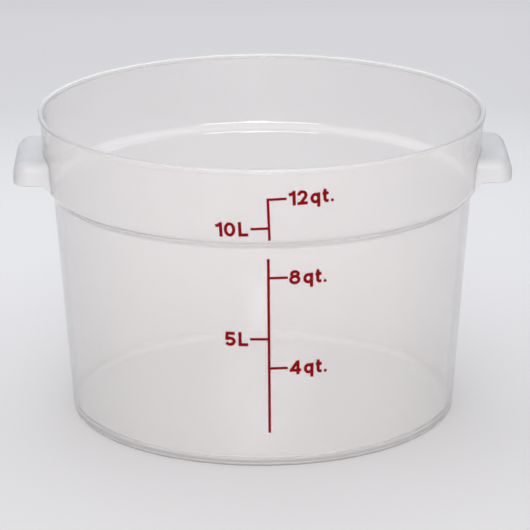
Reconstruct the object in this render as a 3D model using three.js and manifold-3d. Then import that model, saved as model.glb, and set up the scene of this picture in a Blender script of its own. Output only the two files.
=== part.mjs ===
// A round food storage container: one moulded vessel with a stacking shoulder and a beaded rim,
// two hooded hand grips and a measuring scale printed on the front of the wall.
// Millimetres, +Z up. The origin is on the table, under the middle of the base. The scale faces -Y.

import * as THREE from "three";
import { mergeVertices } from "three/addons/utils/BufferGeometryUtils.js";
import Module from "manifold-3d";

const wasm = await Module();
wasm.setup();

// Vessel
const RIM_RADIUS = 153.7; // outside of the rim bead
const HEIGHT = 212.5;
const WALL = 2.4;
const FLOOR = 2.2;
const FOOT_HEIGHT = 0.8; // the floor's underside stands this far off the table
const FOOT_WIDTH = 7; // the flat ring that the vessel stands on
const BASE_ROUND = 3; // outside, where the wall turns into the base
const INNER_BASE_ROUND = 6.5; // inside, where the wall turns into the floor
const WALL_DRAFT = THREE.MathUtils.degToRad(4.12); // lean of the wall below the shoulder
const SHOULDER_WIDTH = 4.4;
const SHOULDER_HEIGHT = 5;
const SHOULDER_ROUND = 1.6;
const BAND_HEIGHT = 51.2; // from the rim down to the top of the shoulder
const BAND_DRAFT = THREE.MathUtils.degToRad(4.7); // lean of the wall above the shoulder
const BEAD_HEIGHT = 3.2;
const BEAD_PROUD = 1.2;
const BEAD_ROUND = 0.9;

// Hand grips: hoods that are open underneath
const HOOD_DROP = 27.5; // from the rim down to the top of the hood
const HOOD_HEIGHT = 16.2;
const HOOD_LENGTH = 78;
const HOOD_DEPTH = 19.8; // out from the band at the top of the hood
const HOOD_WALL = 2.2;
const HOOD_BROW_ROUND = 11; // from the top over to the outer face
const HOOD_END_ROUND = 8; // from the outer face round to each end
const HOOD_FLARE = 5.2; // each end runs down to the wall at 45 degrees over this length
const HOOD_SEAM = 0.3;

// Printed scale
const WALL_MARKS = [
  { figures: "4", unit: "qt", share: 0.4581 },
  { figures: "8", unit: "qt", share: 0.8688 },
  { figures: "5", unit: "L", share: 0.5924 },
]; // below the shoulder, as shares of the height from the table up to it
const BAND_MARKS = [
  { figures: "12", unit: "qt", share: 0.6354 },
  { figures: "10", unit: "L", share: 0.2198 },
]; // above the shoulder, as shares of the height from its top up to the rim bead
const SCALE_OFFSET = 2.35; // the line's foot stands this far right of the middle of the front
const WALL_SCALE_LEAN = THREE.MathUtils.degToRad(0.4); // the print is a little out of true
const BAND_SCALE_LEAN = THREE.MathUtils.degToRad(2.2); // and more so above the shoulder
const SCALE_START = 25.2; // lower end of the line, above the table
const SCALE_SHOULDER_GAP = 7.1; // the line stops this far under the shoulder
const SCALE_BAND_GAP = 2.15; // and starts again this far above it
const TICK_LENGTH = 12;
const TICK_LABEL_GAP = 1.6;
const LINE_WIDTH = 1.7; // of the line and its ticks
const PEN_WIDTH = 2.1; // of the figures and letters
const CAP_HEIGHT = 10;
const SMALL_HEIGHT = 7.4; // bowl of a small letter
const TAIL_DEPTH = 2.5; // below the line of writing
const FIGURE_GAP = 1; // from figure to figure
const UNIT_GAP = 1.8; // from the last figure to the unit
const LETTER_GAP = 1.5; // from letter to letter of a unit
const DIGIT_WIDTH = 7.6;
const ONE_WIDTH = 4.5;
const TWO_WIDTH = 6.8;
const Q_WIDTH = 6.6;
const T_WIDTH = 4.1;
const L_WIDTH = 6.4;
const ONE_FLAG_DROP = 1.5; // from the top of a one down to the end of its flag
const TWO_BOWL_END = -0.2; // where a two's bowl runs out, in half turns from the right
const FOUR_BAR = 0.3; // height of a four's bar, as a share of the cap height
const FIVE_NECK = 0.42; // lower end of a five's stem, likewise
const FIVE_BOWL = 0.66; // top of a five's bowl, likewise
const FIVE_BOWL_START = 0.8; // in half turns from the right
const FIVE_BOWL_END = -0.85;
const EIGHT_WAIST = 0.56; // as a share of the cap height
const T_TOP = 0.94; // likewise
const T_STEM = 0.4; // place of a t's stem, as a share of its width
const INK_THICKNESS = 0.2;
const INK_GAP = 0.2; // clear of the faceted wall

// Fineness
const VESSEL_SEGMENTS = 80;
const ARC_STEP = Math.PI / 8;
const HOOD_ARC_SEGMENTS = 6;
const GLYPH_ARC_SEGMENTS = 8; // in a half turn
const TICK_STEP = 4; // longest straight stretch of a tick round the wall
const MERGE_DISTANCE = 1e-4; // points closer than this are one point
const OVERSHOOT = 20; // how far a cutting solid runs past what it cuts

// Sizes that follow from those above
const shoulderTop = HEIGHT - BAND_HEIGHT;
const shoulderBottom = shoulderTop - SHOULDER_HEIGHT;
const beadBottom = HEIGHT - BEAD_HEIGHT;
const upperStart = shoulderTop + SCALE_BAND_GAP;
const floorTop = FOOT_HEIGHT + FLOOR;
const bandRadius = (z) => RIM_RADIUS - BEAD_PROUD - (beadBottom - z) * Math.tan(BAND_DRAFT);
const wallRadius = (z) =>
  bandRadius(shoulderTop) - SHOULDER_WIDTH - (shoulderBottom - z) * Math.tan(WALL_DRAFT);
const shoulderSlope = Math.hypot(SHOULDER_WIDTH, SHOULDER_HEIGHT);
const innerShoulderLift = (WALL * (shoulderSlope - SHOULDER_HEIGHT)) / SHOULDER_WIDTH;
const hoodTop = HEIGHT - HOOD_DROP;
const hoodBottom = hoodTop - HOOD_HEIGHT;
const hoodReach = bandRadius(hoodTop) + HOOD_DEPTH;
const hoodBrow = Math.min(HOOD_BROW_ROUND, HOOD_HEIGHT, HOOD_DEPTH);
const hoodEnd = Math.min(HOOD_END_ROUND, HOOD_LENGTH / 2, HOOD_DEPTH);

// Materials
const clearPlastic = { color: 0xd8d9d6, roughness: 0.4, metalness: 0 };
const redInk = { color: 0xa3191f, roughness: 0.6, metalness: 0 };

const at = (x, y) => new THREE.Vector2(x, y);

// A corner of an outline: distance from the axis, height, and the radius that rounds it off
const corner = (r, z, round = 0) => ({ tip: at(r, z), round });

// Outline points with each rounded corner as an arc that stays within its two sides
function roundCorners(corners) {
  return corners.flatMap(({ tip, round }, i) => {
    if (!round) {
      return [tip];
    }
    const toLast = corners[i - 1].tip.clone().sub(tip);
    const toNext = corners[i + 1].tip.clone().sub(tip);
    const shortest = Math.min(toLast.length(), toNext.length());
    toLast.normalize();
    toNext.normalize();
    const half = Math.acos(toLast.dot(toNext)) / 2;
    const radius = Math.min(round, (shortest / 2) * Math.tan(half));
    const middle = toLast.clone().add(toNext).normalize();
    const centre = tip.clone().addScaledVector(middle, radius / Math.sin(half));
    const start = tip.clone().addScaledVector(toLast, radius / Math.tan(half));
    const sweep = (Math.PI - 2 * half) * Math.sign(toNext.cross(toLast));
    const steps = Math.max(2, Math.ceil(Math.abs(sweep) / ARC_STEP));
    return Array.from({ length: steps + 1 }, (_, k) =>
      start.clone().rotateAround(centre, (sweep * k) / steps),
    );
  });
}

// A solid turned about Z from an outline in radius and height
function turned(points) {
  return new THREE.LatheGeometry(points, VESSEL_SEGMENTS).rotateX(Math.PI / 2);
}

// A closed geometry as a solid that can be joined and cut
function toSolid(geometry) {
  const bare = geometry.clone();
  bare.deleteAttribute("normal");
  bare.deleteAttribute("uv");
  const merged = mergeVertices(bare, MERGE_DISTANCE);
  const index = merged.index.array;
  const triangles = [];
  for (let i = 0; i < index.length; i += 3) {
    const [a, b, c] = index.slice(i, i + 3);
    if (a !== b && b !== c && c !== a) {
      triangles.push(a, b, c);
    }
  }
  return new wasm.Manifold(
    new wasm.Mesh({
      numProp: 3,
      vertProperties: new Float32Array(merged.attributes.position.array),
      triVerts: new Uint32Array(triangles),
    }),
  );
}

function toGeometry(solid) {
  const mesh = solid.getMesh();
  const points = new Float32Array(mesh.vertProperties);
  const geometry = new THREE.BufferGeometry();
  geometry.setAttribute("position", new THREE.BufferAttribute(points, 3));
  geometry.setIndex(new THREE.BufferAttribute(new Uint32Array(mesh.triVerts), 1));
  geometry.computeVertexNormals();
  return geometry;
}

function piece(name, geometry, look) {
  const mesh = new THREE.Mesh(geometry, new THREE.MeshStandardMaterial(look));
  mesh.name = name;
  return mesh;
}

// Vessel: the outside from under the base up to the rim, and the inside from the floor up to it
const rimMiddle = RIM_RADIUS - (BEAD_PROUD + WALL) / 2;
const footOuter = wallRadius(0) - BASE_ROUND;

function outsideOutline() {
  return roundCorners([
    corner(0, FOOT_HEIGHT),
    corner(footOuter - FOOT_WIDTH, FOOT_HEIGHT),
    corner(footOuter - FOOT_WIDTH, 0),
    corner(wallRadius(0), 0, BASE_ROUND),
    corner(wallRadius(shoulderBottom), shoulderBottom, SHOULDER_ROUND),
    corner(bandRadius(shoulderTop), shoulderTop, SHOULDER_ROUND),
    corner(bandRadius(beadBottom), beadBottom),
    corner(RIM_RADIUS, beadBottom, BEAD_ROUND),
    corner(RIM_RADIUS, HEIGHT, BEAD_ROUND),
    corner(rimMiddle, HEIGHT),
  ]);
}

function insideOutline() {
  const innerBottom = shoulderBottom + innerShoulderLift;
  const innerTop = shoulderTop + innerShoulderLift;
  return roundCorners([
    corner(0, floorTop),
    corner(wallRadius(floorTop) - WALL, floorTop, INNER_BASE_ROUND),
    corner(wallRadius(innerBottom) - WALL, innerBottom, SHOULDER_ROUND),
    corner(bandRadius(innerTop) - WALL, innerTop, SHOULDER_ROUND),
    corner(bandRadius(HEIGHT) - WALL, HEIGHT, BEAD_ROUND),
    corner(rimMiddle, HEIGHT),
  ]);
}

function vessel() {
  const inside = insideOutline().slice(0, -1).reverse();
  return piece("container_body", turned([...outsideOutline(), ...inside]), clearPlastic);
}

// Hand grip on the +X side: a rounded block, hollowed from below and trimmed to the wall
function hoodBlock(inset, lowest, flareStart) {
  const halfLength = HOOD_LENGTH / 2 - inset;
  const reach = hoodReach - inset;
  const top = hoodTop - inset;
  const brow = hoodBrow - inset;
  const end = hoodEnd - inset;
  const root = flareStart - OVERSHOOT;

  const side = new THREE.Shape();
  side.moveTo(root, lowest - OVERSHOOT);
  side.lineTo(flareStart, lowest);
  side.lineTo(reach, lowest);
  side.absarc(reach - brow, top - brow, brow, 0, Math.PI / 2);
  side.lineTo(root, top);

  const plan = new THREE.Shape();
  plan.moveTo(root, -halfLength);
  plan.lineTo(reach - end, -halfLength);
  plan.absarc(reach - end, end - halfLength, end, -Math.PI / 2, 0);
  plan.absarc(reach - end, halfLength - end, end, 0, Math.PI / 2);
  plan.lineTo(root, halfLength);

  const slab = (shape, depth) =>
    new THREE.ExtrudeGeometry(shape, { depth, bevelEnabled: false, curveSegments: HOOD_ARC_SEGMENTS });
  const sideSlab = slab(side, HOOD_LENGTH).rotateX(Math.PI / 2).translate(0, HOOD_LENGTH / 2, 0);
  const planFoot = hoodBottom - 2 * OVERSHOOT;
  const planSlab = slab(plan, hoodTop + OVERSHOOT - planFoot).translate(0, 0, planFoot);
  return toSolid(sideSlab).intersect(toSolid(planSlab));
}

function hoodGeometry() {
  const endRoot = Math.sqrt(bandRadius(hoodBottom) ** 2 - (HOOD_LENGTH / 2) ** 2);
  const block = hoodBlock(0, hoodBottom, endRoot + HOOD_FLARE);
  const hollow = hoodBlock(HOOD_WALL, hoodBottom - OVERSHOOT, endRoot + HOOD_FLARE);
  const wallLine = outsideOutline().map((p) => at(p.x > 0 ? p.x + HOOD_SEAM : 0, p.y));
  const filled = turned([...wallLine, at(0, HEIGHT)]);
  return toGeometry(block.subtract(hollow).subtract(toSolid(filled)));
}

function grips() {
  const geometry = hoodGeometry();
  const right = piece("handle_right", geometry, clearPlastic);
  const left = piece("handle_left", geometry, clearPlastic);
  left.rotation.z = Math.PI;
  return [right, left];
}

// Printing: a stroke is a flat ribbon along a line of writing, with square ends and mitred corners
function stroke(points, width = PEN_WIDTH) {
  const half = width / 2;
  const edge = (side) =>
    points.map((p, i) => {
      const into = p.clone().sub(points[Math.max(i - 1, 0)]).normalize();
      const out = points[Math.min(i + 1, points.length - 1)].clone().sub(p).normalize();
      const along = into.clone().add(out).normalize();
      const square = i > 0 && i < points.length - 1 ? along.dot(out) : 1;
      const across = new THREE.Vector2(-along.y, along.x);
      return p.clone().addScaledVector(across, (side * half) / square);
    });
  return new THREE.Shape([...edge(-1), ...edge(1).reverse()]);
}

// Points round part of an ellipse, in turns of half a circle from the right, anticlockwise
function arc(x, y, rx, ry, from, to) {
  const steps = Math.ceil(Math.abs(to - from) * GLYPH_ARC_SEGMENTS);
  return Array.from({ length: steps + 1 }, (_, k) => {
    const turn = Math.PI * (from + ((to - from) * k) / steps);
    return at(x + rx * Math.cos(turn), y + ry * Math.sin(turn));
  });
}

// A closed loop of the pen that fills a box
function loop(left, bottom, width, height) {
  const [x, y] = [left + width / 2, bottom + height / 2];
  const shape = new THREE.Shape(arc(x, y, width / 2, height / 2, 0, 2).slice(1));
  const inner = arc(x, y, width / 2 - PEN_WIDTH, height / 2 - PEN_WIDTH, 0, 2).slice(1);
  shape.holes.push(new THREE.Path(inner));
  return shape;
}

// Plain figures and unit letters, drawn with the pen from the left end of the line of writing
const pen = PEN_WIDTH / 2;
const capLine = CAP_HEIGHT - pen;
const smallLine = SMALL_HEIGHT - pen;
const digitMiddle = DIGIT_WIDTH / 2;
const bowl = digitMiddle - pen;

const glyphs = {
  0: { width: DIGIT_WIDTH, shapes: () => [loop(0, 0, DIGIT_WIDTH, CAP_HEIGHT)] },
  1: {
    width: ONE_WIDTH,
    shapes: () => {
      const stem = ONE_WIDTH - pen;
      const flag = capLine - ONE_FLAG_DROP;
      return [
        stroke([at(stem, 0), at(stem, CAP_HEIGHT)]),
        stroke([at(0, flag), at(ONE_WIDTH / 2, flag + pen / 2), at(stem, capLine)]),
      ];
    },
  },
  2: {
    width: TWO_WIDTH,
    shapes: () => {
      const crown = TWO_WIDTH / 2 - pen;
      return [
        stroke([...arc(TWO_WIDTH / 2, capLine - crown, crown, crown, 1, TWO_BOWL_END), at(PEN_WIDTH, pen)]),
        stroke([at(0, pen), at(TWO_WIDTH, pen)]),
      ];
    },
  },
  4: {
    width: DIGIT_WIDTH,
    shapes: () => {
      const stem = DIGIT_WIDTH - PEN_WIDTH;
      const bar = CAP_HEIGHT * FOUR_BAR;
      return [
        stroke([at(stem, 0), at(stem, CAP_HEIGHT)]),
        stroke([at(stem - pen / 2, capLine), at(pen, bar)]),
        stroke([at(0, bar), at(DIGIT_WIDTH, bar)]),
      ];
    },
  },
  5: {
    width: DIGIT_WIDTH,
    shapes: () => {
      const belly = (CAP_HEIGHT * FIVE_BOWL - PEN_WIDTH) / 2;
      return [
        stroke([at(pen, capLine), at(DIGIT_WIDTH - pen / 2, capLine)]),
        stroke([at(PEN_WIDTH, CAP_HEIGHT), at(PEN_WIDTH - pen / 2, CAP_HEIGHT * FIVE_NECK)]),
        stroke(arc(digitMiddle, pen + belly, bowl, belly, FIVE_BOWL_START, FIVE_BOWL_END)),
      ];
    },
  },
  8: {
    width: DIGIT_WIDTH,
    shapes: () => {
      const waist = CAP_HEIGHT * EIGHT_WAIST;
      return [
        loop(0, 0, DIGIT_WIDTH, waist + pen),
        loop(pen / 2, waist - pen, DIGIT_WIDTH - pen, CAP_HEIGHT - waist + pen),
      ];
    },
  },
  q: {
    width: Q_WIDTH,
    shapes: () => [
      loop(0, 0, Q_WIDTH, SMALL_HEIGHT),
      stroke([at(Q_WIDTH - pen, SMALL_HEIGHT), at(Q_WIDTH - pen, -TAIL_DEPTH)]),
    ],
  },
  t: {
    width: T_WIDTH,
    shapes: () => {
      const stem = T_WIDTH * T_STEM;
      const hook = Math.max(T_WIDTH - stem - pen, pen);
      const foot = arc(stem + hook, pen + hook, hook, hook, 1, 1.5);
      return [
        stroke([at(stem, CAP_HEIGHT * T_TOP), ...foot, at(T_WIDTH, pen)]),
        stroke([at(0, smallLine), at(T_WIDTH, smallLine)]),
      ];
    },
  },
  stop: {
    width: PEN_WIDTH,
    shapes: () => [new THREE.Shape(arc(pen, pen, pen, pen, 0, 2).slice(1))],
  },
  L: {
    width: L_WIDTH,
    shapes: () => [stroke([at(pen, CAP_HEIGHT), at(pen, pen), at(L_WIDTH, pen)])],
  },
};

// Flat shapes joined into one film, leant about the line's foot and wrapped on the wall
function printed(name, shapes, left, bottom) {
  const thin = { depth: INK_THICKNESS, bevelEnabled: false };
  const film = shapes
    .map((shape) => toSolid(new THREE.ExtrudeGeometry(shape, thin)))
    .reduce((whole, part) => whole.add(part));
  const geometry = toGeometry(film);
  const onBand = bottom > shoulderBottom;
  const wallAt = onBand ? bandRadius : wallRadius;
  const lean = onBand ? BAND_SCALE_LEAN : WALL_SCALE_LEAN;
  const foot = at(0, onBand ? upperStart : SCALE_START);
  const points = geometry.attributes.position;
  for (let i = 0; i < points.count; i += 1) {
    const flat = at(left + points.getX(i), bottom + points.getY(i)).rotateAround(foot, lean);
    const turn = (SCALE_OFFSET + flat.x) / wallAt(bottom);
    const out = wallAt(flat.y) + INK_GAP + points.getZ(i);
    points.setXYZ(i, out * Math.sin(turn), -out * Math.cos(turn), flat.y);
  }
  geometry.computeVertexNormals();
  return piece(name, geometry, redInk);
}

// Quarts stand right of the line and litres left of it
const placed = (marks, bottom, top) =>
  marks.map(({ figures, unit, share }) => {
    const side = unit === "qt" ? 1 : -1;
    return { figures, unit, side, z: bottom + share * (top - bottom) };
  });

function label({ figures, unit, side, z }) {
  const keys = [...figures, ...unit, ...(unit === "qt" ? ["stop"] : [])];
  const lastFigure = figures.length - 1;
  const gapAfter = (i) => {
    if (i === lastFigure) {
      return UNIT_GAP;
    }
    return i < lastFigure ? FIGURE_GAP : LETTER_GAP;
  };
  const starts = [0];
  keys.forEach((key, i) => starts.push(starts[i] + glyphs[key].width + gapAfter(i)));
  const width = starts[keys.length] - gapAfter(keys.length - 1);
  const start = TICK_LENGTH + TICK_LABEL_GAP;
  const left = side > 0 ? start : -start - width;
  return keys.map((key, i) => {
    const name = `scale_${figures}${unit}_${key}`;
    return printed(name, glyphs[key].shapes(), left + starts[i], z - CAP_HEIGHT / 2);
  });
}

// One stretch of the scale's line, with the ticks of the marks beside it
function scaleLine(name, bottom, top, beside) {
  const steps = Math.ceil(TICK_LENGTH / TICK_STEP);
  const ticks = beside.map(({ side, z }) => {
    const tick = (_, k) => at((side * TICK_LENGTH * k) / steps, z - bottom);
    return stroke(Array.from({ length: steps + 1 }, tick), LINE_WIDTH);
  });
  const line = stroke([at(0, 0), at(0, top - bottom)], LINE_WIDTH);
  return printed(name, [line, ...ticks], 0, bottom);
}

function scale() {
  const below = placed(WALL_MARKS, 0, shoulderBottom);
  const above = placed(BAND_MARKS, shoulderTop, beadBottom);
  const top = Math.max(...above.map(({ z }) => z)) + LINE_WIDTH / 2;
  return [
    scaleLine("scale_line_lower", SCALE_START, shoulderBottom - SCALE_SHOULDER_GAP, below),
    scaleLine("scale_line_upper", upperStart, top, above),
    ...[...below, ...above].flatMap(label),
  ];
}

const container = new THREE.Group();
container.add(vessel(), ...grips(), ...scale());

export default container;
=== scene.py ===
"""A round food storage container in translucent polypropylene: the vessel, its two hooded grips and the
measuring scale printed on it, on a pale studio floor. Metres, +Z up. The scale faces -Y."""

import math

import bmesh
import bpy
from bpy.props import FloatProperty, FloatVectorProperty, IntProperty, PointerProperty, StringProperty
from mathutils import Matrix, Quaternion, Vector


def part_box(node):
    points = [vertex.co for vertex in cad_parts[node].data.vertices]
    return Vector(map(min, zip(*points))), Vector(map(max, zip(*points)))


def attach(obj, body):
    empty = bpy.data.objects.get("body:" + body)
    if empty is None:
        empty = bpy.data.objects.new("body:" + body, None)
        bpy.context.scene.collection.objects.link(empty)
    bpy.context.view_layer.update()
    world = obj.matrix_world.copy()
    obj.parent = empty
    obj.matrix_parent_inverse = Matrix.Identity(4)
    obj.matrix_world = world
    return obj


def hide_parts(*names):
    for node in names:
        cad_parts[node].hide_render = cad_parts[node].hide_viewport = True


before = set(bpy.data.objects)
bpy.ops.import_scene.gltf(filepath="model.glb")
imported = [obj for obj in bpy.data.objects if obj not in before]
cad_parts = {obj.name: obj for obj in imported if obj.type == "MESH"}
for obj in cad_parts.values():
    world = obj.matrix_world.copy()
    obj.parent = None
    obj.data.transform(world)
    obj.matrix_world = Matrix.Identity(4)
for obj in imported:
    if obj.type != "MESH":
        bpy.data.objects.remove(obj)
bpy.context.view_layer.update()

bl_info = {
    "name": "Round food storage container",
    "version": (1, 0, 0),
    "blender": (4, 5, 0),
    "location": "View3D > Sidebar > Container",
    "description": "Makes a translucent round container with hooded grips and a printed scale",
    "category": "Add Mesh",
}

MM = 0.001
BODY = "root"
VESSEL_NODE = "container_body"
GRIP_NODES = {"grip_right": ("handle_right", 1), "grip_left": ("handle_left", -1)}
INK_PREFIX = "scale_"
VESSEL_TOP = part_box(VESSEL_NODE)[1]
GRIP_LOW, GRIP_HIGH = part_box("handle_right")
IMAGE_WIDTH = 530
SENSOR_WIDTH = 36.0


# Properties


def length(name, description, default):
    """A size in metres that a user can change."""
    return FloatProperty(
        name=name, description=description, default=default, min=0.0, precision=5, unit="LENGTH"
    )


def angle(name, description, degrees):
    """An angle that a user can change."""
    return FloatProperty(
        name=name, description=description, default=math.radians(degrees), subtype="ANGLE"
    )


def place(name, description, default):
    """A point that a user can move."""
    return FloatVectorProperty(
        name=name, description=description, default=default, subtype="XYZ", unit="LENGTH"
    )


def power(name, description, default):
    """A lamp's power."""
    return FloatProperty(name=name, description=description, default=default, min=0.0, unit="POWER")


def hex_colour(name, description, default):
    """A colour written as sRGB hex."""
    return StringProperty(name=name, description=description, default=default)


class VesselSizes(bpy.types.PropertyGroup):
    """Sizes of the moulded vessel."""

    rim_radius: length("Rim radius", "Outside of the rim bead", VESSEL_TOP.x)
    height: length("Height", "From the table to the top of the rim", VESSEL_TOP.z)
    wall: length("Wall", "Thickness of the wall", 2.4 * MM)
    floor: length("Floor", "Thickness of the floor", 2.2 * MM)
    foot_height: length("Foot height", "How far the floor stands off the table", 0.8 * MM)
    foot_width: length("Foot width", "Flat ring that the vessel stands on", 7.0 * MM)
    foot_round: length("Foot rounding", "Inner edge of the foot ring", 0.4 * MM)
    base_round: length("Base rounding", "Outside, where the wall turns into the base", 3.0 * MM)
    inner_base_round: length("Inner base rounding", "Where the wall turns into the floor", 6.5 * MM)
    wall_draft: angle("Wall draft", "Lean of the wall below the shoulder", 4.12)
    shoulder_width: length("Shoulder width", "How far the wall steps out", 4.4 * MM)
    shoulder_height: length("Shoulder height", "Height of the step", 5.0 * MM)
    ledge_round: length("Ledge rounding", "Inner edges of the step", 4.5 * MM)
    band_height: length("Band height", "From the rim down to the shoulder", 51.2 * MM)
    band_draft: angle("Band draft", "Lean of the wall above the shoulder", 4.7)
    bead_height: length("Bead height", "Height of the rim bead", 3.2 * MM)
    bead_proud: length("Bead depth", "How far the bead stands out", 1.2 * MM)
    bead_round: length("Bead rounding", "Edges of the bead", 0.9 * MM)
    bead_root: length("Bead root", "Fillet under the bead", 0.4 * MM)
    turns: IntProperty(name="Facets", description="Facets round the vessel", default=256, min=16)


class GripSizes(bpy.types.PropertyGroup):
    """Sizes of the hooded grips, which are open underneath."""

    top: length("Top", "Height of the hood's top above the table", GRIP_HIGH.z)
    reach: length("Reach", "From the vessel's axis to the outer face", GRIP_HIGH.x)
    hood_length: length("Length", "Along the wall", GRIP_HIGH.y - GRIP_LOW.y)
    height: length("Height", "From the lower edge to the top", 16.2 * MM)
    wall: length("Wall", "Thickness of the hood", 2.2 * MM)
    brow_round: length("Brow rounding", "From the top over to the outer face", 9.5 * MM)
    end_round: length("End rounding", "From the outer face round to each end, in plan", 11.0 * MM)
    end_top_round: length("End top rounding", "From the top over to each end", 7.0 * MM)
    flare: length("Flare", "Where each end runs down to the wall", 5.2 * MM)
    flare_round: length("Flare rounding", "Bend at the start of the flare", 1.2 * MM)
    seam: length("Seam", "Clearance to the wall", 0.3 * MM)


class FinishColours(bpy.types.PropertyGroup):
    """Colours of the surfaces, as sRGB hex."""

    wall_clear: hex_colour("Wall, clear", "Plastic where it is clearest", "fdfcfc")
    wall_cloudy: hex_colour("Wall, cloudy", "Plastic where it is cloudiest", "fcfaf9")
    grip_clear: hex_colour("Grip, clear", "Grips where they are clearest", "f6f7f8")
    grip_cloudy: hex_colour("Grip, cloudy", "Grips where they are cloudiest", "f0f1f3")
    passed_light: hex_colour("Passed light", "Lamp light that each skin lets through", "f7f6f5")
    passed_room: hex_colour("Passed room light", "Room light that each skin lets through", "b8b6b4")
    ink: hex_colour("Ink", "Printed scale", "7e0308")
    ink_thin: hex_colour("Thin ink", "Where the print is thinner", "8a0a0f")
    floor: hex_colour("Floor", "Paper that the vessel stands on", "d4d4d5")
    # Painted light: the far paper is coloured paler for the brighter light that a rising sweep would
    # catch.
    floor_far_painted_light: hex_colour("Far floor", "Paper where it runs away behind the vessel", "e8e8eb")


class StageSettings(bpy.types.PropertyGroup):
    """Camera and light."""

    camera_distance: length("Camera distance", "From the camera to the point it aims at", 2.4)
    camera_elevation: angle("Camera elevation", "Above the horizon", 17.65)
    camera_azimuth: angle("Camera azimuth", "Round from the front, towards the right", -0.9)
    camera_roll: angle("Camera roll", "Turn of the camera about its own axis", -0.21)
    focal_pixels: FloatProperty(name="Focal length", description="In pixels of the frame", default=3444.0)
    aim: place("Aim", "Point that the camera looks at", (1.7 * MM, 0.0, 99.4 * MM))
    floor_size: length("Floor size", "Width of the floor", 12.0)
    top_size: length("Top softbox size", "Width of the softbox overhead", 0.6)
    top_power: power("Top softbox power", "Light from overhead", 4.4)
    top_place: place("Top softbox place", "Middle of the softbox overhead", (-0.05, 0.38, 0.78))
    top_colour: hex_colour("Top softbox colour", "Cool light from overhead", "f2f7ff")
    front_width: length("Front softbox width", "Across", 3.6)
    front_height: length("Front softbox height", "Up and down", 0.6)
    front_power: power("Front softbox power", "Light from over the camera", 51.5)
    front_place: place("Front softbox place", "Middle of the softbox over the camera", (0.0, -2.7, 1.35))
    front_colour: hex_colour("Front softbox colour", "Light from over the camera", "fff9f7")
    fill_size: length("Fill softbox size", "Width of the softbox beside the camera", 0.6)
    fill_power: power("Fill softbox power", "Light from beside the camera", 12.0)
    fill_place: place("Fill softbox place", "Middle of the softbox beside the camera", (0.1, -2.6, 0.7))
    fill_colour: hex_colour("Fill softbox colour", "Light from beside the camera", "fff9f7")
    side_size: length("Side softbox size", "Width of the softbox on each side", 1.0)
    side_power: power("Side softbox power", "Light from each side", 1.6)
    side_place: place("Side softbox place", "Middle of the softbox on the right", (1.5, -0.1, 0.7))
    side_colour: hex_colour("Side softbox colour", "Light from each side", "fffaf8")
    room_front: hex_colour("Room in front", "Room behind the camera", "a6a5a4")
    room_back: hex_colour("Room behind", "Cool room beyond the vessel", "c6cbd1")


class ContainerSettings(bpy.types.PropertyGroup):
    """Everything that can be set."""

    vessel: PointerProperty(type=VesselSizes)
    grips: PointerProperty(type=GripSizes)
    colours: PointerProperty(type=FinishColours)
    stage: PointerProperty(type=StageSettings)


# Shapes


# Spacing of the points along an outline: round an arc, along a run and beside the ends of a run.
ARC_STEP = math.radians(9)
LEAST_ARC_STEPS = 3
RUN_STEP = 8 * MM
SUPPORT = 0.5 * MM
LONG_RUN = 4 * SUPPORT


def rounded(corners):
    """Outline points from corners (r, z, radius), with each rounded corner as an arc."""
    points = []
    for i, (r, z, radius) in enumerate(corners):
        tip = Vector((r, z))
        if not radius:
            points.append(tip)
            continue
        before = Vector(corners[i - 1][:2]) - tip
        after = Vector(corners[i + 1][:2]) - tip
        half = before.angle(after) / 2
        radius = min(radius, min(before.length, after.length) / 2 * math.tan(half))
        before.normalize()
        after.normalize()
        centre = tip + (before + after).normalized() * radius / math.sin(half)
        arm = tip + before * radius / math.tan(half) - centre
        sweep = math.copysign(math.pi - 2 * half, after.cross(before))
        steps = max(LEAST_ARC_STEPS, math.ceil(abs(sweep) / ARC_STEP))
        for k in range(steps + 1):
            turn = sweep * k / steps
            across = Vector((-arm.y, arm.x))
            points.append(centre + arm * math.cos(turn) + across * math.sin(turn))
    return points


def filled_in(points):
    """The same outline with points close to both ends of each long run and evenly between them."""
    dense = [points[0]]
    for start, end in zip(points, points[1:]):
        run = (end - start).length
        if run > LONG_RUN:
            steps = math.ceil(run / RUN_STEP)
            shares = {SUPPORT / run, 1 - SUPPORT / run, *(k / steps for k in range(1, steps))}
            dense += [start.lerp(end, share) for share in sorted(shares)]
        dense.append(end)
    return dense


def band_radius(vessel, z):
    """Outside of the upper band at a height."""
    below_bead = vessel.height - vessel.bead_height - z
    return vessel.rim_radius - vessel.bead_proud - below_bead * math.tan(vessel.band_draft)


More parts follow.
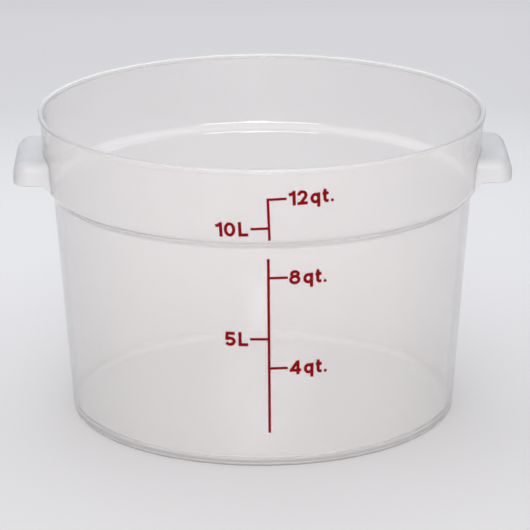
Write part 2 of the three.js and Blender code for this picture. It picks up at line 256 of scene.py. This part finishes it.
def vessel_outline(vessel):
    """Closed outline of the vessel's section, from under the floor up to the rim and back down inside.
    The outer roundings of the step follow the inner ones, so the wall keeps its thickness there."""
    shoulder_top = vessel.height - vessel.band_height
    shoulder_bottom = shoulder_top - vessel.shoulder_height
    bead_bottom = vessel.height - vessel.bead_height
    floor_top = vessel.foot_height + vessel.floor
    slope = math.hypot(vessel.shoulder_width, vessel.shoulder_height)
    lift = vessel.wall * (slope - vessel.shoulder_height) / vessel.shoulder_width

    def band(z):
        return band_radius(vessel, z)

    def wall(z):
        drop = shoulder_bottom - z
        return band(shoulder_top) - vessel.shoulder_width - drop * math.tan(vessel.wall_draft)

    foot_inner = wall(0) - vessel.base_round - vessel.foot_width
    rim_middle = vessel.rim_radius - (vessel.bead_proud + vessel.wall) / 2
    outside = [
        (0, vessel.foot_height, 0),
        (foot_inner, vessel.foot_height, vessel.foot_round),
        (foot_inner, 0, vessel.foot_round),
        (wall(0), 0, vessel.base_round),
        (wall(shoulder_bottom), shoulder_bottom, vessel.ledge_round - vessel.wall),
        (band(shoulder_top), shoulder_top, vessel.ledge_round + vessel.wall),
        (band(bead_bottom), bead_bottom, vessel.bead_root),
        (vessel.rim_radius, bead_bottom, vessel.bead_round),
        (vessel.rim_radius, vessel.height, vessel.bead_round),
        (rim_middle, vessel.height, 0),
    ]
    inside = [
        (rim_middle, vessel.height, 0),
        (band(vessel.height) - vessel.wall, vessel.height, vessel.bead_round),
        (band(shoulder_top + lift) - vessel.wall, shoulder_top + lift, vessel.ledge_round),
        (wall(shoulder_bottom + lift) - vessel.wall, shoulder_bottom + lift, vessel.ledge_round),
        (wall(floor_top) - vessel.wall, floor_top, vessel.inner_base_round),
        (0, floor_top, 0),
    ]
    return filled_in(rounded(outside)) + filled_in(rounded(inside))[1:]


def turned(outline, turns):
    """Vertices and faces of an outline turned about Z. It starts and ends on the axis."""
    verts = [(0, 0, outline[0].y)]
    for point in outline[1:-1]:
        for k in range(turns):
            turn = 2 * math.pi * k / turns
            verts.append((point.x * math.sin(turn), -point.x * math.cos(turn), point.y))
    verts.append((0, 0, outline[-1].y))
    last = len(verts) - 1
    rings = len(outline) - 2
    faces = []
    for k in range(turns):
        n = (k + 1) % turns
        faces.append((0, 1 + n, 1 + k))
        for ring in range(rings - 1):
            low, high = 1 + ring * turns, 1 + (ring + 1) * turns
            faces.append((low + k, low + n, high + n, high + k))
        top = 1 + (rings - 1) * turns
        faces.append((top + k, top + n, last))
    return verts, faces


# Steps of the hood's grid, down its section and then round it.
CAP_STEPS = 8
BROW_STEPS = 10
SIDE_STEPS = 6
LIP_STEPS = 8
END_STEPS = 18
CORNER_STEPS = 12
FRONT_STEPS = 8
LEAST_ROUND = 0.6 * MM
SETTLING_ROUNDS = 4


class Hood:
    """The surface of the grip on the +X side, as a grid of points round the hood and down its section."""

    def __init__(self, grip, vessel):
        self.grip = grip
        self.vessel = vessel
        self.half = grip.hood_length / 2
        self.bottom = grip.top - grip.height
        self.flare_x = self.wall_x(self.bottom, self.half) + grip.flare
        self.stations = self.half_path()

    def wall_x(self, z, y):
        """Where the hood meets the wall, at a height and a distance from its middle."""
        return math.sqrt((band_radius(self.vessel, z) + self.grip.seam) ** 2 - y**2)

    def half_path(self):
        """Stations from the middle of the outer face round to the wall: section and share along it."""
        front = [("front", k / FRONT_STEPS) for k in range(FRONT_STEPS)]
        corner = [("corner", k / CORNER_STEPS) for k in range(CORNER_STEPS)]
        end = [("end", k / END_STEPS) for k in range(END_STEPS + 1)]
        return front + corner + end

    def end_weight(self, station):
        """0 on the outer face, 1 on the ends, and smoothly between round the corner."""
        section, share = station
        smooth = share * share * (3 - 2 * share)
        return {"front": 0.0, "corner": smooth, "end": 1.0}[section]

    def lower_edge(self, x):
        """Height of the lower edge, which bends down towards the wall."""
        past = self.flare_x - x
        return self.bottom - (past + math.hypot(past, self.grip.flare_round)) / 2

    def plan(self, station, inset, z):
        """The point of the plan outline at a station, set in by a distance."""
        section, share = station
        bend = max(self.grip.end_round, inset)
        corner_x = self.grip.reach - bend
        corner_y = self.half - bend
        if section == "front":
            return Vector((self.grip.reach - inset, corner_y * share, z))
        if section == "corner":
            turn = share * math.pi / 2
            radius = bend - inset
            return Vector((corner_x + radius * math.cos(turn), corner_y + radius * math.sin(turn), z))
        y = self.half - inset
        x = corner_x + (self.wall_x(z, y) - corner_x) * share
        return Vector((x, y, z))

    def low_point(self, station, inset, raised):
        """The point of the plan outline at a height above the lower edge. The wall leans, so the point
        and its height depend on each other and settle in a few rounds."""
        z = self.bottom
        for _ in range(SETTLING_ROUNDS):
            z = self.lower_edge(self.plan(station, inset, z).x) + raised
        return self.plan(station, inset, z)

    def skin(self, station, offset):
        """Points of the outer or inner skin at a station, from the wall over the top and down."""
        weight = self.end_weight(station)
        brow = self.grip.brow_round
        radius = max(brow + (self.grip.end_top_round - brow) * weight - offset, LEAST_ROUND)
        top = self.grip.top - offset
        edge = self.plan(station, offset + radius, top)
        end_y = self.half - offset - max(self.grip.end_top_round - offset, LEAST_ROUND)
        share = self.stations.index(station) / (len(self.stations) - 1)
        reach = band_radius(self.vessel, top) + self.grip.seam
        turn = math.asin(end_y / reach) * share
        root = Vector((reach * math.cos(turn), reach * math.sin(turn), top))
        points = [root.lerp(edge, k / CAP_STEPS) for k in range(CAP_STEPS)]
        for k in range(BROW_STEPS + 1):
            turn = math.pi / 2 * k / BROW_STEPS
            inset = offset + radius * (1 - math.sin(turn))
            points.append(self.plan(station, inset, top - radius * (1 - math.cos(turn))))
        start = points[-1]
        foot = self.low_point(station, offset, self.grip.wall / 2)
        for k in range(1, SIDE_STEPS + 1):
            z = start.z + (foot.z - start.z) * k / SIDE_STEPS
            points.append(self.plan(station, offset, z))
        return points

    def lip(self, station):
        """Points round the lower edge, between the skins."""
        half = self.grip.wall / 2
        turns = [math.pi * k / LIP_STEPS for k in range(1, LIP_STEPS)]
        return [
            self.low_point(station, half * (1 - math.cos(turn)), half * (1 - math.sin(turn)))
            for turn in turns
        ]

    def column(self, station):
        """The hood's whole section at a station."""
        return self.skin(station, 0) + self.lip(station) + self.skin(station, self.grip.wall)[::-1]

    def mesh_data(self):
        """Vertices and faces of the closed hood."""
        right = [self.column(station) for station in self.stations]
        left = [[Vector((p.x, -p.y, p.z)) for p in column] for column in right[:0:-1]]
        columns = left + right
        rows = len(columns[0])
        verts = [point for column in columns for point in column]

        def at(column, row):
            return column * rows + row

        faces = []
        for c in range(len(columns) - 1):
            for r in range(rows):
                n = (r + 1) % rows
                faces.append((at(c, r), at(c, n), at(c + 1, n), at(c + 1, r)))
        for r in range(rows // 2 - 1):
            low, high = r, rows - 1 - r
            first, last = 0, len(columns) - 1
            faces.append((at(first, low), at(first, high), at(first, high - 1), at(first, low + 1)))
            faces.append((at(last, low), at(last, low + 1), at(last, high - 1), at(last, high)))
        return verts, faces


MERGE = 0.01 * MM


def new_piece(name, verts, faces, material):
    """A smooth mesh object that rides on the body, with doubled points merged."""
    mesh = bpy.data.meshes.new(name)
    mesh.from_pydata(verts, [], faces)
    shape = bmesh.new()
    shape.from_mesh(mesh)
    bmesh.ops.remove_doubles(shape, verts=shape.verts, dist=MERGE)
    bmesh.ops.dissolve_degenerate(shape, edges=shape.edges, dist=MERGE)
    bmesh.ops.recalc_face_normals(shape, faces=shape.faces)
    shape.to_mesh(mesh)
    shape.free()
    mesh.shade_smooth()
    mesh.materials.append(material)
    piece = bpy.data.objects.new(name, mesh)
    bpy.context.scene.collection.objects.link(piece)
    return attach(piece, BODY)


# Finishes


def linear(hex_text):
    """An sRGB hex colour as linear red, green, blue and alpha."""
    channels = [int(hex_text[i : i + 2], 16) / 255 for i in (0, 2, 4)]
    return (*(c / 12.92 if c <= 0.04045 else ((c + 0.055) / 1.055) ** 2.4 for c in channels), 1.0)


def add(tree, kind, values=None, links=None, **settings):
    """Adds a node with its settings, socket values and links."""
    node = tree.nodes.new(kind)
    for name, value in settings.items():
        setattr(node, name, value)
    for name, value in (values or {}).items():
        node.inputs[name].default_value = value
    for name, source in (links or {}).items():
        tree.links.new(source, node.inputs[name])
    return node


def new_material(name):
    """An empty node material and its tree."""
    material = bpy.data.materials.new(name)
    material.use_nodes = True
    material.node_tree.nodes.clear()
    return material, material.node_tree


PLASTIC_IOR = 1.49

# Share of the light that passes through each part of the moulding. The rest is scattered by its haze.
WALL_CLARITY = 0.8
BAND_CLARITY = 0.85
FOOT_CLARITY = 0.68
FLOOR_CLARITY = 0.86
LEDGE_CLARITY = 0.74
RIM_CLARITY = 0.76
EDGE_CLARITY = 0.57
GRIP_CLARITY = 0.68
LIP_CLARITY = 0.58

# Clarity changes within this depth at the faces of the floor and the top of the rim.
SKIN = 0.44 * MM
# Shares of the inner base rounding, and of the step's height below its top, where clarity changes.
MILKY_BASE_SHARE = 0.3
LEDGE_STARTS = 0.6
LEDGE_MILKY_FROM = 0.4
LEDGE_MILKY_TO = 0.2

# Roughness from the clearest to the cloudiest spots, and the depth of the waves left by the mould.
WALL_FROST = (0.07, 0.1)
GRIP_FROST = (0.5, 0.58)
WALL_WAVE = 0.02 * MM
GRIP_WAVE = 0.1 * MM

CLOUD_SIZE = 24 * MM
CLOUD_DETAIL = 2.0
CLOUD_GRAIN = 0.4
CLOUD_RANGE = (0.3, 0.7)
WAVE_SIZE = 12 * MM
WAVE_DETAIL = 1.0


def moulded_polypropylene(name, colours, tints, clarity, frost, wave_depth):
    """Natural polypropylene, injection moulded: it passes most light and blurs what lies behind it.
    It is milkier along its edges and corners, its frost drifts a little along the wall, and slight
    waves left by the mould soften reflections. Clarity is given by height."""
    material, tree = new_material(name)
    place = add(tree, "ShaderNodeNewGeometry").outputs["Position"]
    cloud = add(
        tree,
        "ShaderNodeTexNoise",
        {"Scale": 1 / CLOUD_SIZE, "Detail": CLOUD_DETAIL, "Roughness": CLOUD_GRAIN},
        {"Vector": place},
    ).outputs["Fac"]
    wave = add(
        tree, "ShaderNodeTexNoise", {"Scale": 1 / WAVE_SIZE, "Detail": WAVE_DETAIL}, {"Vector": place}
    ).outputs["Fac"]
    tint = add(
        tree,
        "ShaderNodeMix",
        {"A": linear(tints[0]), "B": linear(tints[1])},
        {"Factor": cloud},
        data_type="RGBA",
    )
    spread = {
        "From Min": CLOUD_RANGE[0],
        "From Max": CLOUD_RANGE[1],
        "To Min": frost[0],
        "To Max": frost[1],
    }
    roughness = add(tree, "ShaderNodeMapRange", spread, {"Value": cloud})
    height = add(tree, "ShaderNodeSeparateXYZ", None, {"Vector": place}).outputs["Z"]
    level = add(tree, "ShaderNodeMapRange", {"From Max": VESSEL_TOP.z}, {"Value": height})
    clear = add(tree, "ShaderNodeValToRGB", None, {"Fac": level.outputs["Result"]})
    stops = clear.color_ramp.elements
    for z, share in clarity:
        stops.new(z / VESSEL_TOP.z).color = (share, share, share, 1.0)
    # The ramp's own first and last stops go.
    stops.remove(stops[0])
    stops.remove(stops[len(stops) - 1])
    ripple = add(tree, "ShaderNodeBump", {"Distance": wave_depth}, {"Height": wave})
    plastic = add(
        tree,
        "ShaderNodeBsdfPrincipled",
        {"IOR": PLASTIC_IOR},
        {
            "Base Color": tint.outputs["Result"],
            "Transmission Weight": clear.outputs["Color"],
            "Roughness": roughness.outputs["Result"],
            "Normal": ripple.outputs["Normal"],
        },
    )
    # Shadow and bounced rays pass each skin, so that light reaches the floor inside and under the vessel.
    path = add(tree, "ShaderNodeLightPath").outputs
    passed = add(
        tree,
        "ShaderNodeMix",
        {"A": linear(colours.passed_light), "B": linear(colours.passed_room)},
        {"Factor": path["Is Diffuse Ray"]},
        data_type="RGBA",
    )
    glow = add(tree, "ShaderNodeBsdfTransparent", None, {"Color": passed.outputs["Result"]})
    soft_ray = add(
        tree,
        "ShaderNodeMath",
        None,
        {0: path["Is Shadow Ray"], 1: path["Is Diffuse Ray"]},
        operation="MAXIMUM",
    ).outputs[0]
    lit = add(tree, "ShaderNodeMixShader", None, {0: soft_ray, 1: plastic.outputs[0], 2: glow.outputs[0]})
    add(tree, "ShaderNodeOutputMaterial", None, {"Surface": lit.outputs[0]})
    return material


INK_MOTTLE_SIZE = 1.6 * MM
INK_MOTTLE_DETAIL = 2.0
INK_SATIN = (0.42, 0.58)
INK_SHINE = 0.05


def screen_print_ink(colours):
    """Dark red screen-print ink, cured on the wall: opaque and satin, a little thinner in places."""
    material, tree = new_material("screen_print_ink")
    place = add(tree, "ShaderNodeNewGeometry").outputs["Position"]
    mottle = add(
        tree,
        "ShaderNodeTexNoise",
        {"Scale": 1 / INK_MOTTLE_SIZE, "Detail": INK_MOTTLE_DETAIL},
        {"Vector": place},
    ).outputs["Fac"]
    colour = add(
        tree,
        "ShaderNodeMix",
        {"A": linear(colours.ink), "B": linear(colours.ink_thin)},
        {"Factor": mottle},
        data_type="RGBA",
    )
    satin = add(
        tree, "ShaderNodeMapRange", {"To Min": INK_SATIN[0], "To Max": INK_SATIN[1]}, {"Value": mottle}
    )
    shader = add(
        tree,
        "ShaderNodeBsdfPrincipled",
        {"Specular IOR Level": INK_SHINE},
        {"Base Color": colour.outputs["Result"], "Roughness": satin.outputs["Result"]},
    )
    add(tree, "ShaderNodeOutputMaterial", None, {"Surface": shader.outputs["BSDF"]})
    return material


# Distance behind the vessel's axis, in metres, over which a painted light turns the paper paler, standing
# in for the brighter light on a sweep where it starts to rise.
PAPER_PAINTED_LIGHT_FROM = 0.8
PAPER_PAINTED_LIGHT_TO = 1.15
PAPER_ROUGHNESS = 0.6


def backdrop_paper(colours):
    """Matt seamless paper without gloss. Far behind the vessel its colour is painted paler: painted light
    for the brighter light on a sweep where it starts to rise."""
    material, tree = new_material("backdrop_paper")
    place = add(tree, "ShaderNodeNewGeometry").outputs["Position"]
    depth = add(tree, "ShaderNodeSeparateXYZ", None, {"Vector": place}).outputs["Y"]
    reach = {"From Min": PAPER_PAINTED_LIGHT_FROM, "From Max": PAPER_PAINTED_LIGHT_TO}
    share = add(tree, "ShaderNodeMapRange", reach, {"Value": depth})
    # Painted light: the paper's colour turns paler far behind the vessel, standing in for brighter light
    # there.
    colour = add(
        tree,
        "ShaderNodeMix",
        {"A": linear(colours.floor), "B": linear(colours.floor_far_painted_light)},
        {"Factor": share.outputs["Result"]},
        data_type="RGBA",
    )
    shader = add(
        tree,
        "ShaderNodeBsdfDiffuse",
        {"Roughness": PAPER_ROUGHNESS},
        {"Color": colour.outputs["Result"]},
    )
    add(tree, "ShaderNodeOutputMaterial", None, {"Surface": shader.outputs["BSDF"]})
    return material


# Operators


FLOOR_GAP = 0.05 * MM


class MakeVessel(bpy.types.Operator):
    """Makes the vessel: foot ring, floor, wall, shoulder, band and rim bead"""

    bl_idname = "container.make_vessel"
    bl_label = "Vessel"

    def execute(self, context):
        settings = context.scene.storage_container
        colours = settings.colours
        sizes = settings.vessel
        floor_top = sizes.foot_height + sizes.floor
        shoulder_top = sizes.height - sizes.band_height
        bead_bottom = sizes.height - sizes.bead_height
        step = sizes.shoulder_height
        clarity = (
            (sizes.foot_height - SKIN, FOOT_CLARITY),
            (sizes.foot_height, FLOOR_CLARITY),
            (sizes.foot_height + SKIN, FOOT_CLARITY),
            (floor_top - SKIN, FOOT_CLARITY),
            (floor_top, FLOOR_CLARITY),
            (floor_top + SKIN, FOOT_CLARITY),
            (floor_top + MILKY_BASE_SHARE * sizes.inner_base_round, FOOT_CLARITY),
            (floor_top + sizes.inner_base_round, WALL_CLARITY),
            (shoulder_top - LEDGE_STARTS * step, WALL_CLARITY),
            (shoulder_top - LEDGE_MILKY_FROM * step, LEDGE_CLARITY),
            (shoulder_top - LEDGE_MILKY_TO * step, LEDGE_CLARITY),
            (shoulder_top, BAND_CLARITY),
            (bead_bottom - sizes.bead_root, BAND_CLARITY),
            (bead_bottom, RIM_CLARITY),
            (sizes.height - 2 * SKIN, RIM_CLARITY),
            (sizes.height - SKIN, EDGE_CLARITY),
        )
        tints = (colours.wall_clear, colours.wall_cloudy)
        frosted = moulded_polypropylene(
            "frosted_polypropylene", colours, tints, clarity, WALL_FROST, WALL_WAVE
        )
        verts, faces = turned(vessel_outline(sizes), sizes.turns)
        vessel = new_piece("vessel", verts, faces, frosted)
        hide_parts(VESSEL_NODE)
        return {"FINISHED"}


class MakeGrips(bpy.types.Operator):
    """Makes the two hooded grips"""

    bl_idname = "container.make_grips"
    bl_label = "Grips"

    def execute(self, context):
        settings = context.scene.storage_container
        colours = settings.colours
        lip_top = GRIP_LOW.z + settings.grips.flare + settings.grips.wall
        clarity = ((lip_top, LIP_CLARITY), (lip_top + settings.grips.wall, GRIP_CLARITY))
        tints = (colours.grip_clear, colours.grip_cloudy)
        satin = moulded_polypropylene(
            "satin_polypropylene", colours, tints, clarity, GRIP_FROST, GRIP_WAVE
        )
        verts, faces = Hood(settings.grips, settings.vessel).mesh_data()
        for name, (node, side) in GRIP_NODES.items():
            placed = [(side * p.x, side * p.y, p.z) for p in verts]
            grip = new_piece(name, placed, faces, satin)
            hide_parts(node)
        return {"FINISHED"}


class PrintScale(bpy.types.Operator):
    """Gives the printed scale its ink"""

    bl_idname = "container.print_scale"
    bl_label = "Scale"

    def execute(self, context):
        ink = screen_print_ink(context.scene.storage_container.colours)
        for name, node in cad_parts.items():
            if name.startswith(INK_PREFIX):
                node.data.materials.clear()
                node.data.materials.append(ink)
        return {"FINISHED"}


class SetStage(bpy.types.Operator):
    """Sets the floor, the light and the camera"""

    bl_idname = "container.set_stage"
    bl_label = "Stage"

    def execute(self, context):
        scene = context.scene
        settings = scene.storage_container
        scene.view_settings.view_transform = "Standard"
        self.lay_floor(settings)
        self.hang_light(scene, settings.stage)
        self.paint_room(scene, settings.stage)
        self.aim_camera(scene, settings.stage)
        return {"FINISHED"}

    def lay_floor(self, settings):
        """A sheet of paper just under the vessel's foot."""
        half = settings.stage.floor_size / 2
        mesh = bpy.data.meshes.new("floor")
        corners = [(-half, -half), (half, -half), (half, half), (-half, half)]
        mesh.from_pydata([(x, y, -FLOOR_GAP) for x, y in corners], [], [(0, 1, 2, 3)])
        mesh.materials.append(backdrop_paper(settings.colours))
        floor = bpy.data.objects.new("floor", mesh)
        bpy.context.scene.collection.objects.link(floor)

    def hang_softbox(self, scene, name, place, width, height, watts, colour):
        """A softbox that faces the middle of the vessel."""
        light = bpy.data.lights.new(name, "AREA")
        light.shape = "RECTANGLE"
        light.size = width
        light.size_y = height
        light.energy = watts
        light.color = linear(colour)[:3]
        softbox = bpy.data.objects.new(name, light)
        softbox.location = place
        across = Vector((0, 0, VESSEL_TOP.z / 2)) - Vector(place)
        softbox.rotation_mode = "QUATERNION"
        softbox.rotation_quaternion = across.to_track_quat("-Z", "Y")
        scene.collection.objects.link(softbox)
        return softbox

    def hang_light(self, scene, stage):
        """The softboxes. The one overhead is kept out of reflections and of views through the plastic,
        where it would show as a hard white band on the grips."""
        top = (stage.top_size, stage.top_size, stage.top_power, stage.top_colour)
        overhead = self.hang_softbox(scene, "top_softbox", stage.top_place, *top)
        overhead.visible_glossy = False
        overhead.visible_transmission = False
        front = (stage.front_width, stage.front_height, stage.front_power, stage.front_colour)
        self.hang_softbox(scene, "front_softbox", stage.front_place, *front)
        fill = (stage.fill_size, stage.fill_size, stage.fill_power, stage.fill_colour)
        self.hang_softbox(scene, "fill_softbox", stage.fill_place, *fill)
        side = (stage.side_size, stage.side_size, stage.side_power, stage.side_colour)
        x, y, z = stage.side_place
        self.hang_softbox(scene, "right_softbox", (x, y, z), *side)
        self.hang_softbox(scene, "left_softbox", (-x, y, z), *side)

    def paint_room(self, scene, stage):
        """The room all round, from its front tone to its back one."""
        world = bpy.data.worlds.new("room")
        world.use_nodes = True
        tree = world.node_tree
        tree.nodes.clear()
        toward = add(tree, "ShaderNodeTexCoord").outputs["Generated"]
        depth = add(tree, "ShaderNodeSeparateXYZ", None, {"Vector": toward}).outputs["Y"]
        share = add(tree, "ShaderNodeMapRange", {"From Min": -1.0, "From Max": 1.0}, {"Value": depth})
        room = add(
            tree,
            "ShaderNodeMix",
            {"A": linear(stage.room_front), "B": linear(stage.room_back)},
            {"Factor": share.outputs["Result"]},
            data_type="RGBA",
        )
        glow = add(tree, "ShaderNodeBackground", None, {"Color": room.outputs["Result"]})
        add(tree, "ShaderNodeOutputWorld", None, {"Surface": glow.outputs[0]})
        scene.world = world

    def aim_camera(self, scene, stage):
        """A camera at the photograph's own distance, height and turn."""
        camera = bpy.data.cameras.new("camera")
        camera.sensor_width = SENSOR_WIDTH
        camera.lens = stage.focal_pixels / IMAGE_WIDTH * SENSOR_WIDTH
        rise = stage.camera_elevation
        out = math.cos(rise)
        around = stage.camera_azimuth
        back = Vector((out * math.sin(around), -out * math.cos(around), math.sin(rise)))
        viewer = bpy.data.objects.new("camera", camera)
        viewer.location = Vector(stage.aim) + back * stage.camera_distance
        viewer.rotation_mode = "QUATERNION"
        level = (-back).to_track_quat("-Z", "Y")
        viewer.rotation_quaternion = level @ Quaternion((0, 0, 1), stage.camera_roll)
        scene.collection.objects.link(viewer)
        scene.camera = viewer


class ContainerPanel(bpy.types.Panel):
    """Lists the steps that make the container"""

    bl_idname = "VIEW3D_PT_storage_container"
    bl_label = "Storage container"
    bl_space_type = "VIEW_3D"
    bl_region_type = "UI"
    bl_category = "Container"

    def draw(self, context):
        for step in STEPS:
            self.layout.operator(step.bl_idname)


GROUPS = (VesselSizes, GripSizes, FinishColours, StageSettings, ContainerSettings)
STEPS = (MakeVessel, MakeGrips, PrintScale, SetStage)
CLASSES = (*GROUPS, *STEPS, ContainerPanel)


def register():
    """Adds the classes and the settings to Blender."""
    for item in CLASSES:
        bpy.utils.register_class(item)
    bpy.types.Scene.storage_container = PointerProperty(type=ContainerSettings)


def unregister():
    """Takes the classes and the settings out again."""
    del bpy.types.Scene.storage_container
    for item in reversed(CLASSES):
        bpy.utils.unregister_class(item)


def main():
    """Makes every piece and the stage."""
    register()
    bpy.ops.container.make_vessel()
    bpy.ops.container.make_grips()
    bpy.ops.container.print_scale()
    bpy.ops.container.set_stage()


if __name__ == "__main__":
    main()
